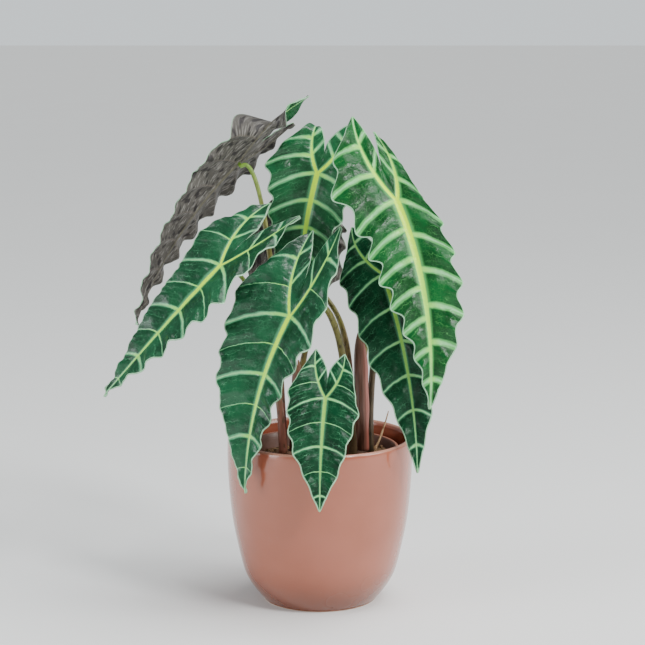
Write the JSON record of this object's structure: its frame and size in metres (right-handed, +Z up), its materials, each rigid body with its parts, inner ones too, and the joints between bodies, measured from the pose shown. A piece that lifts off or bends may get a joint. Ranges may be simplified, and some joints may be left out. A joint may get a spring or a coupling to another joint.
{
  "type": "potted plant",
  "caption": "Potted alocasia: arching petioles carry arrow-shaped dark leaves with pale veins, in a nursery pot inside a round glazed ceramic cachepot.",
  "frame": {"origin": "centre of the cachepot's flat foot, on the surface that the pot stands on", "axes": "+Z up through the pot, -Y the side that the front leaves hang over, +X to the right of someone looking at the front"},
  "size_m": [0.2634, 0.1737, 0.38],
  "materials": {
    "glaze": "gloss",
    "nursery_plastic": "satin",
    "coir": "matte",
    "corm": "matte",
    "blade": "satin",
    "petiole": "satin",
    "sheath": "matte",
    "stalk": "matte"
  },
  "bodies": {
    "root": {"ceramic_pot": "glaze", "nursery_pot": "nursery_plastic", "soil": "coir", "corm_left": "corm", "corm_right": "corm", "leaf_front": "blade", "leaf_small_front": "blade", "leaf_right": "blade", "leaf_right_rear": "blade", "leaf_left": "blade", "leaf_back_left": "blade", "leaf_top": "blade", "leaf_rear": "blade", "petiole_front": "petiole", "petiole_small_front": "petiole", "petiole_right": "petiole", "petiole_right_rear": "petiole", "petiole_left": "petiole", "petiole_back_left": "petiole", "petiole_top": "petiole", "petiole_rear": "petiole", "sheath_left": "sheath", "sheath_right": "sheath", "dry_stalk": "stalk"}
  },
  "joints": []
}
